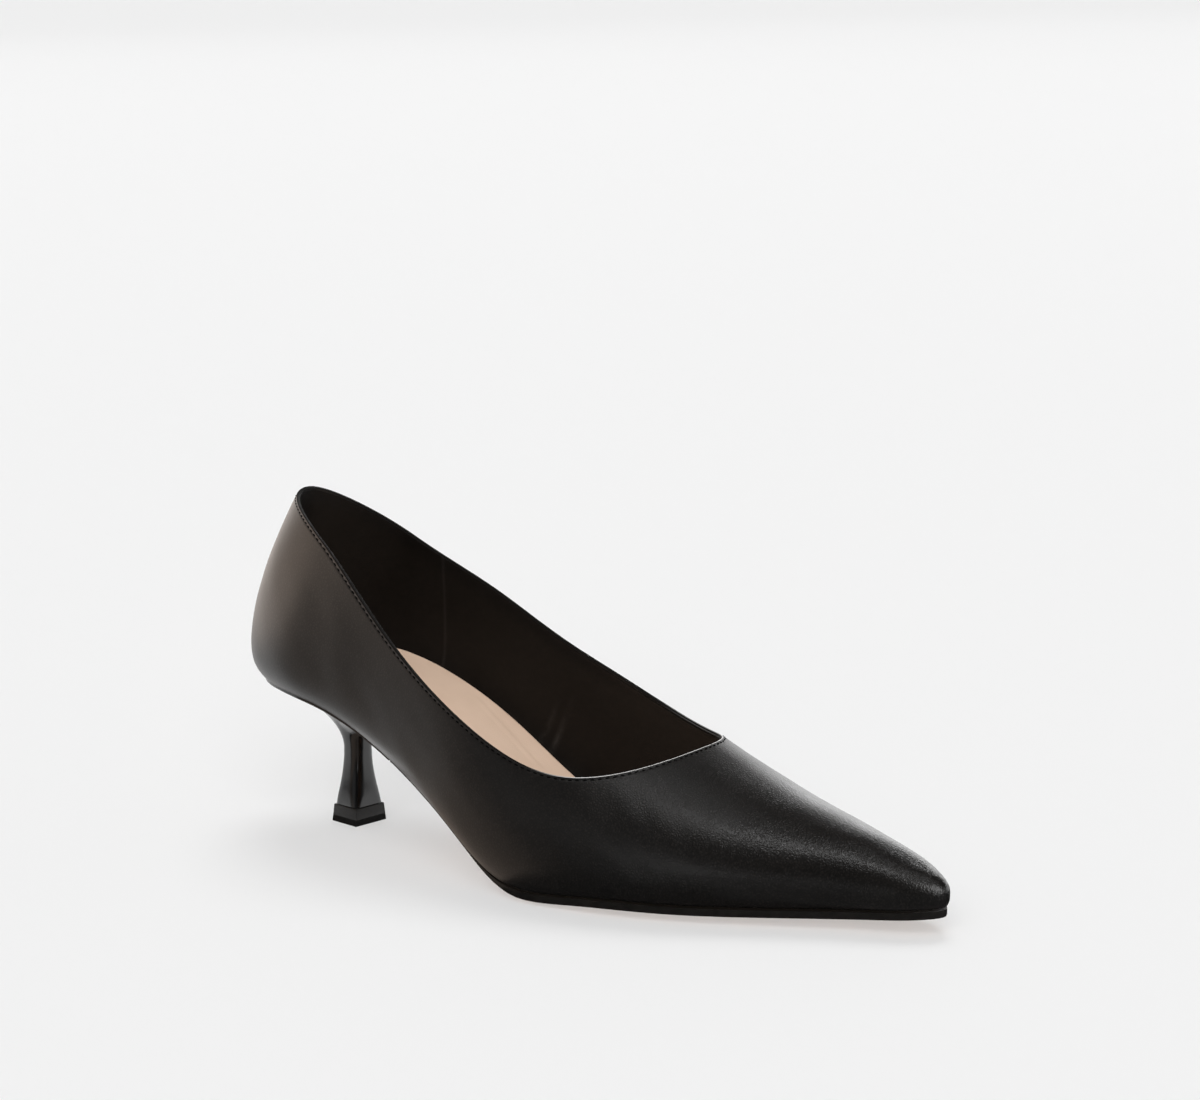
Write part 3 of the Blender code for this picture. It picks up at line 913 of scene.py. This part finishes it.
def grain_group():
    """Pebbled skin: small uneven cells with soft furrows between them and fine pores."""
    tree, given, out = new_group(
        "skin_grain",
        (("Vector", "NodeSocketVector", None), ("Cells per metre", "NodeSocketFloat", 1400.0)),
        (("Height", "NodeSocketFloat"), ("Furrow", "NodeSocketFloat")),
    )
    drift = noise(tree, given.outputs["Vector"], 900.0, 1.0)
    shift = add_node(tree, "ShaderNodeVectorMath", operation="SCALE")
    shift.inputs["Scale"].default_value = 0.0006
    tree.links.new(drift.outputs["Color"], shift.inputs[0])
    moved = add_node(tree, "ShaderNodeVectorMath", operation="ADD")
    tree.links.new(given.outputs["Vector"], moved.inputs[0])
    tree.links.new(shift.outputs[0], moved.inputs[1])
    cells = add_node(tree, "ShaderNodeTexVoronoi", feature="DISTANCE_TO_EDGE")
    tree.links.new(moved.outputs[0], cells.inputs["Vector"])
    tree.links.new(given.outputs["Cells per metre"], cells.inputs["Scale"])
    pebble = remap(tree, cells.outputs["Distance"], 0.0, 0.4, 0.0, 1.0)
    pebble.node.interpolation_type = "SMOOTHSTEP"
    pores = noise(tree, given.outputs["Vector"], 3200.0, 2.0)
    fine = math_node(tree, "MULTIPLY", pores.outputs["Fac"], 0.1)
    tree.links.new(math_node(tree, "ADD", pebble, fine), out.inputs["Height"])
    tree.links.new(math_node(tree, "SUBTRACT", 1.0, pebble, clamp=True), out.inputs["Furrow"])
    return tree


def mottle_group():
    """Slow change over the surface, from 0 to 1."""
    tree, given, out = new_group(
        "slow_mottle",
        (("Vector", "NodeSocketVector", None), ("Patches per metre", "NodeSocketFloat", 40.0)),
        (("Value", "NodeSocketFloat"),),
    )
    patches = noise(tree, given.outputs["Vector"], given.outputs["Patches per metre"], 3.0)
    patches.inputs["Roughness"].default_value = 0.55
    tree.links.new(remap(tree, patches.outputs["Fac"], 0.3, 0.7, 0.0, 1.0), out.inputs["Value"])
    return tree


GRAIN = grain_group()
MOTTLE = mottle_group()


def new_material(name):
    """A material with its shader and the place on the piece."""
    material = bpy.data.materials.new(name)
    material.use_nodes = True
    tree = material.node_tree
    place = add_node(tree, "ShaderNodeTexCoord").outputs["Object"]
    return material, tree, tree.nodes["Principled BSDF"], place


def use_group(tree, group, place, per_metre):
    """The outputs of a shader group placed in a material at its own scale."""
    made = add_node(tree, "ShaderNodeGroup", node_tree=group)
    tree.links.new(place, made.inputs["Vector"])
    made.inputs[1].default_value = per_metre
    return made.outputs


def grained_material(name, cells, patches):
    """A material with its shader, the place on the piece, and its own grain and mottle."""
    material, tree, shader, place = new_material(name)
    grain = use_group(tree, GRAIN, place, cells)
    mottle = use_group(tree, MOTTLE, place, patches)["Value"]
    return material, tree, shader, place, grain, mottle


def feed(shader, socket, value):
    """Link what changes over the surface to a socket of the shader."""
    shader.id_data.links.new(value, shader.inputs[socket])


def mix_colours(tree, factor, first, second):
    """Two colours mixed over the surface, the first a socket or three numbers."""
    mix = add_node(tree, "ShaderNodeMix", data_type="RGBA")
    tree.links.new(factor, mix.inputs["Factor"])
    if isinstance(first, tuple):
        mix.inputs[6].default_value = (*first, 1.0)
    else:
        tree.links.new(first, mix.inputs[6])
    mix.inputs[7].default_value = (*second, 1.0)
    return mix.outputs[2]


def bump(tree, height, distance, shader):
    """Raise the surface by a height that runs to a distance in millimetres."""
    made = add_node(tree, "ShaderNodeBump")
    made.inputs["Strength"].default_value = 1.0
    made.inputs["Distance"].default_value = distance * MM
    tree.links.new(height, made.inputs["Height"])
    feed(shader, "Normal", made.outputs["Normal"])


def split_place(tree, place):
    """The place on the piece as three numbers."""
    spot = add_node(tree, "ShaderNodeSeparateXYZ")
    tree.links.new(place, spot.inputs[0])
    return spot.outputs


def mottled_finish(name, patches, dark, light, rough, raised, specular=0.5):
    """A finish whose colour, roughness and fine relief follow one mottle."""
    material, tree, shader, place = new_material(name)
    mottle = use_group(tree, MOTTLE, place, patches)["Value"]
    feed(shader, "Base Color", mix_colours(tree, mottle, dark, light))
    feed(shader, "Roughness", remap(tree, mottle, 0.0, 1.0, *rough))
    shader.inputs["Specular IOR Level"].default_value = specular
    bump(tree, mottle, raised, shader)
    return material


def smooth_leather():
    """Black calf, finely pebbled and glossiest at the toe."""
    material, tree, shader, place, grain, mottle = grained_material("smooth_leather", 1150.0, 55.0)
    skin = mix_colours(tree, mottle, (0.0092, 0.0074, 0.0062), (0.0132, 0.0107, 0.0090))
    # Painted shade: the grain's furrows are darkened in the colour
    sunk = math_node(tree, "MULTIPLY", grain["Furrow"], 0.75)
    feed(shader, "Base Color", mix_colours(tree, sunk, skin, (0.0016, 0.0013, 0.0011)))
    along = split_place(tree, place)["X"]
    dull = remap(tree, along, *GLOSS_REACH, *GLOSS_ROUGHNESS)
    rough = math_node(tree, "ADD", math_node(tree, "MULTIPLY", mottle, 0.02), dull)
    furrow = math_node(tree, "MULTIPLY", grain["Furrow"], 0.015)
    feed(shader, "Roughness", math_node(tree, "ADD", rough, furrow))
    tight = remap(tree, along, *GRAIN_REACH, *GRAIN_DEPTH)
    bump(tree, math_node(tree, "MULTIPLY", grain["Height"], tight), 0.043, shader)
    return material


def cut_edge():
    """Dull black edge of the leather round the collar, with a painted highlight: a pale line along its
    corners, strongest at the throat.
    """
    material, tree, shader, place = new_material("cut_edge")
    mottle = use_group(tree, MOTTLE, place, 400.0)["Value"]
    painted_rim_glint = add_node(tree, "ShaderNodeAttribute", attribute_name="rim_glint").outputs["Fac"]
    skin = mix_colours(tree, mottle, (0.0050, 0.0042, 0.0037), (0.0072, 0.0061, 0.0054))
    # Painted highlight: a pale colour laid where the rim's corners catch light
    rubbed = remap(tree, painted_rim_glint, 0.1, 1.0, 0.0, 0.8)
    feed(shader, "Base Color", mix_colours(tree, rubbed, skin, (0.85, 0.84, 0.83)))
    shader.inputs["Specular IOR Level"].default_value = 0.12
    feed(shader, "Roughness", remap(tree, mottle, 0.0, 1.0, 0.55, 0.7))
    bump(tree, mottle, 0.02, shader)
    return material


def lining_line(tree, spot, x, width, lean):
    """A soft upright line across the lining, 1 in its middle."""
    level = math_node(tree, "MULTIPLY", spot["Z"], lean)
    across = math_node(tree, "ADD", spot["X"], level)
    off = math_node(tree, "ABSOLUTE", math_node(tree, "SUBTRACT", across, x * MM + float(SHIFT[0])), 0.0)
    return remap(tree, off, 0.0, width * MM, 1.0, 0.0)


def black_lining():
    """Dull black lining with a faint nap, its side seam, and two wrinkles low on the medial side; seam and
    wrinkles are raised and lightened as painted highlights.
    """
    material, tree, shader, place, grain, mottle = grained_material("black_lining", 1900.0, 70.0)
    skin = mix_colours(tree, mottle, (0.0062, 0.0050, 0.0042), (0.0096, 0.0078, 0.0066))
    spot = split_place(tree, place)
    seam = lining_line(tree, spot, LINING_SEAM, LINING_SEAM_WIDTH, 0.0)
    wrinkles = [lining_line(tree, spot, x, WRINKLE_WIDTH, WRINKLE_LEAN) for x in LINING_WRINKLES]
    low = remap(tree, spot["Z"], *WRINKLE_HEIGHTS, 0.9, 0.0)
    medial = remap(tree, spot["Y"], 0.0, 0.01, 0.0, 1.0)
    where = math_node(tree, "MULTIPLY", low, medial)
    folds = math_node(tree, "MULTIPLY", math_node(tree, "ADD", *wrinkles), where)
    broken = use_group(tree, MOTTLE, place, 260.0)["Value"]
    folds = math_node(tree, "MULTIPLY", folds, broken)
    # Painted highlight: the raised seam and wrinkles are also lightened in the colour
    raised_lit_lines = math_node(tree, "ADD", math_node(tree, "MULTIPLY", seam, 0.35), folds, clamp=True)
    feed(shader, "Base Color", mix_colours(tree, raised_lit_lines, skin, (0.040, 0.036, 0.033)))
    shader.inputs["Specular IOR Level"].default_value = 0.2
    rough = math_node(tree, "MULTIPLY", mottle, 0.08)
    feed(shader, "Roughness", math_node(tree, "ADD", rough, 0.5))
    ridges = math_node(tree, "MULTIPLY", raised_lit_lines, 4.0)
    bump(tree, math_node(tree, "ADD", grain["Height"], ridges), 0.03, shader)
    return material


def sewing_thread():
    """Dull black thread."""
    dark, light = (0.0015, 0.0015, 0.0015), (0.004, 0.004, 0.004)
    return mottled_finish("sewing_thread", 2500.0, dark, light, (0.65, 0.85), 0.06, 0.08)


def beige_sock():
    """Beige sock with a fine grain."""
    material, tree, shader, _, grain, mottle = grained_material("beige_sock", 1500.0, 45.0)
    beige = mix_colours(tree, mottle, (0.72, 0.522, 0.388), (0.78, 0.576, 0.436))
    feed(shader, "Base Color", beige)
    feed(shader, "Roughness", remap(tree, mottle, 0.0, 1.0, 0.5, 0.6))
    bump(tree, grain["Height"], 0.02, shader)
    return material


def sole_edge():
    """Black sole edge."""
    dark, light = (0.0075, 0.0064, 0.0053), (0.0145, 0.0122, 0.0103)
    return mottled_finish("sole_edge", 350.0, dark, light, (0.38, 0.5), 0.03, 0.25)


def sole_tread():
    """Brown tread of the sole, finely grained and a little rubbed."""
    material, tree, shader, _, grain, mottle = grained_material("sole_tread", 900.0, 60.0)
    brown = mix_colours(tree, mottle, (0.19, 0.105, 0.058), (0.25, 0.145, 0.082))
    feed(shader, "Base Color", brown)
    rough = math_node(tree, "MULTIPLY", grain["Furrow"], 0.12)
    feed(shader, "Roughness", math_node(tree, "ADD", rough, 0.42))
    bump(tree, grain["Height"], 0.04, shader)
    return material


def polished_heel():
    """Black polished heel."""
    dark, light = (0.0015, 0.0015, 0.0016), (0.003, 0.003, 0.0033)
    return mottled_finish("polished_heel", 160.0, dark, light, (0.12, 0.2), 0.02)


def heel_rubber():
    """Black rubber of the top piece."""
    dark, light = (0.007, 0.0065, 0.006), (0.013, 0.012, 0.0115)
    return mottled_finish("heel_rubber", 900.0, dark, light, (0.5, 0.65), 0.03, 0.28)


# Floor, light and camera
PHOTO_WIDTH = 1200
FOCAL_PIXELS = 4946.0
SENSOR = 36.0
TURN = math.radians(34.58)
LIFT = math.radians(15.38)
CAMERA_DISTANCE = 1.5
AIM_RIGHT = 0.00193
AIM_UP = 0.05708
TARGET = np.array((125.0, 0.0, 40.0)) * MM + SHIFT

FLOOR_SIZE = 14.0
FLOOR_CARD_HEIGHT = 0.002
CARD_LEFT = -0.17
WHITE = (1.0, 1.0, 1.0)
WARM = (1.0, 0.80, 0.66)

# Broad lights: azimuth, elevation and spread in degrees, strength, and whether it casts a shadow
BROAD_LIGHTS = (
    ("sky", 0, 88, 170, 0.4, True),
    ("front", -10, 40, 50, 0.9, True),
    ("key", 175, 62, 30, 0.6, True),
    ("fill", 0, 90, 10, 1.58, False),
)

# Cards standing at the shoe's left: back, front, low and high sides, radiance and tint
STANDING_CARDS = (
    ("left_card", -0.075, -0.02, 0.052, 0.15, 1.35, WARM),
    ("left_card_back", -0.45, -0.075, 0.04, 0.15, 0.85, WARM),
    ("left_card_front", -0.02, 0.005, 0.078, 0.15, 1.35, WARM),
)

# Softboxes: azimuth and elevation in degrees, distance, width, height and radiance
SOFT_BOXES = (
    ("front_left", -50, 8, 1.5, 1.4, 0.7, 0.22),
    ("back_wall", -171, 13.5, 2.0, 2.35, 0.9, 1.6),
    ("back_bright", 160, 15, 2.0, 0.5, 0.45, 1.4),
    ("back_right", 145, 8, 2.0, 0.9, 0.5, 1.6),
    ("right_back", 118, 5, 1.5, 0.7, 0.45, 1.2),
    ("right_panel", 88, 8, 1.5, 0.8, 0.4, 0.7),
    ("overhead", 2, 78, 1.5, 0.6, 0.2, 5.2),
    ("toe_light", 112, 67, 1.5, 0.45, 0.25, 1.6),
    ("nose_light", 50, 28, 1.3, 0.6, 1.2, 3.2),
)

# Lit patches of floor: left, right, back and front sides, radiance and tint
FLOOR_CARDS = (
    ("floor_behind", -0.1, 1.2, -1.8, -0.03, 1.0, WHITE),
    ("floor_behind_left", -1.3, -0.1, -1.8, -0.065, 0.9, WHITE),
    ("floor_at_heel", -0.3, -0.085, -0.065, -0.04, 1.0, WHITE),
    ("floor_left", -0.9, -0.03, -0.03, 0.06, 0.4, WARM),
    ("floor_in_front", -0.06, 0.015, 0.12, 0.4, 1.4, WHITE),
    ("floor_at_toe", 0.03, 0.4, 0.07, 0.5, 0.07, WHITE),
)

VIEW_BACK = np.array((math.sin(TURN) * math.cos(LIFT), -math.cos(TURN) * math.cos(LIFT), math.sin(LIFT)))
VIEW_RIGHT = np.array((math.cos(TURN), math.sin(TURN), 0.0))
VIEW_UP = np.cross(VIEW_BACK, VIEW_RIGHT)


def look_along(eye, target):
    """Turn that points an object's -Z from the eye to the target, upright."""
    return (Vector(target) - Vector(eye)).to_track_quat("-Z", "Y").to_euler()


def make_camera():
    lens = bpy.data.cameras.new("photo_camera")
    lens.sensor_width = SENSOR
    lens.sensor_fit = "HORIZONTAL"
    lens.lens = FOCAL_PIXELS / PHOTO_WIDTH * SENSOR
    lens.clip_end = 50.0
    camera = bpy.data.objects.new("photo_camera", lens)
    camera.location = TARGET + VIEW_BACK * CAMERA_DISTANCE
    aim = TARGET + VIEW_RIGHT * AIM_RIGHT + VIEW_UP * AIM_UP
    camera.rotation_euler = look_along(camera.location, aim)
    bpy.context.collection.objects.link(camera)
    bpy.context.scene.camera = camera


def make_floor():
    deselect()
    bpy.ops.mesh.primitive_plane_add(size=FLOOR_SIZE)
    floor = bpy.context.object
    floor.name = "floor"
    material, _, shader, _ = new_material("pale_floor")
    shader.inputs["Base Color"].default_value = (0.86, 0.86, 0.86, 1.0)
    shader.inputs["Roughness"].default_value = 0.9
    shader.inputs["Specular IOR Level"].default_value = 0.1
    floor.data.materials.append(material)
    floor.visible_glossy = False


def studio_direction(azimuth, elevation):
    """Direction from the shoe: azimuth in degrees from the camera's side, to the right, and elevation."""
    turn, lift = math.radians(azimuth), math.radians(elevation)
    level_back = np.array((math.sin(TURN), -math.cos(TURN), 0.0))
    level = VIEW_RIGHT * math.sin(turn) + level_back * math.cos(turn)
    return level * math.cos(lift) + np.array((0.0, 0.0, math.sin(lift)))


def hang(light, place, turn):
    """Hang a light in the studio at a place and turn."""
    lamp = bpy.data.objects.new(light.name, light)
    lamp.location = place
    lamp.rotation_euler = turn
    bpy.context.collection.objects.link(lamp)
    return lamp


def hidden_panel(name, place, turn, width, height, radiance, tint=WHITE):
    """A glowing panel that shows only as a reflection in the shoe."""
    light = bpy.data.lights.new(name, "AREA")
    light.shape = "RECTANGLE"
    light.size, light.size_y = width, height
    light.color = tint
    light.energy = 4 * radiance * width * height
    lamp = hang(light, place, turn)
    lamp.visible_diffuse = False
    lamp.visible_camera = False


def soft_box(name, azimuth, elevation, distance, width, height, radiance):
    """A softbox turned to the shoe."""
    place = TARGET + studio_direction(azimuth, elevation) * distance
    hidden_panel(name, place, look_along(place, TARGET), width, height, radiance)


def floor_card(name, left, right, back, front, radiance, tint):
    """A lit patch of floor, its sides measured from the shoe's middle."""
    place = TARGET + VIEW_RIGHT * 0.5 * (left + right) + studio_direction(0, 0) * 0.5 * (back + front)
    place[2] = FLOOR_CARD_HEIGHT
    hidden_panel(name, place, (math.pi, 0.0, TURN), right - left, front - back, radiance, tint)


def standing_card(name, back, front, low, high, radiance, tint):
    """A card standing at the shoe's left, its sides measured from the shoe's middle and the floor."""
    place = TARGET + VIEW_RIGHT * CARD_LEFT + studio_direction(0, 0) * 0.5 * (back + front)
    place[2] = 0.5 * (low + high)
    turn = look_along(place, place + VIEW_RIGHT)
    hidden_panel(name, place, turn, front - back, high - low, radiance, tint)


def broad_light(name, azimuth, elevation, spread, strength, shadow):
    """A broad even light on floor, sock and lining that leaves no reflection."""
    light = bpy.data.lights.new(name, "SUN")
    light.energy = strength
    light.use_shadow = shadow
    light.angle = math.radians(spread)
    lamp = hang(light, TARGET, look_along(studio_direction(azimuth, elevation), (0, 0, 0)))
    lamp.visible_glossy = False


def make_light():
    world = bpy.context.scene.world or bpy.data.worlds.new("studio")
    bpy.context.scene.world = world
    world.use_nodes = True
    backdrop = world.node_tree.nodes["Background"]
    backdrop.inputs["Color"].default_value = (1.0, 1.0, 1.0, 1.0)
    backdrop.inputs["Strength"].default_value = 0.05

    for row in BROAD_LIGHTS:
        broad_light(*row)
    for row in STANDING_CARDS:
        standing_card(*row)
    for row in SOFT_BOXES:
        soft_box(*row)
    for row in FLOOR_CARDS:
        floor_card(*row)


def main():
    bpy.context.scene.view_settings.view_transform = "Standard"
    make_upper()
    make_lining()
    make_stitches()
    make_sock()
    make_outsole()
    make_heel()
    make_top_piece()
    make_floor()
    make_light()
    make_camera()


main()
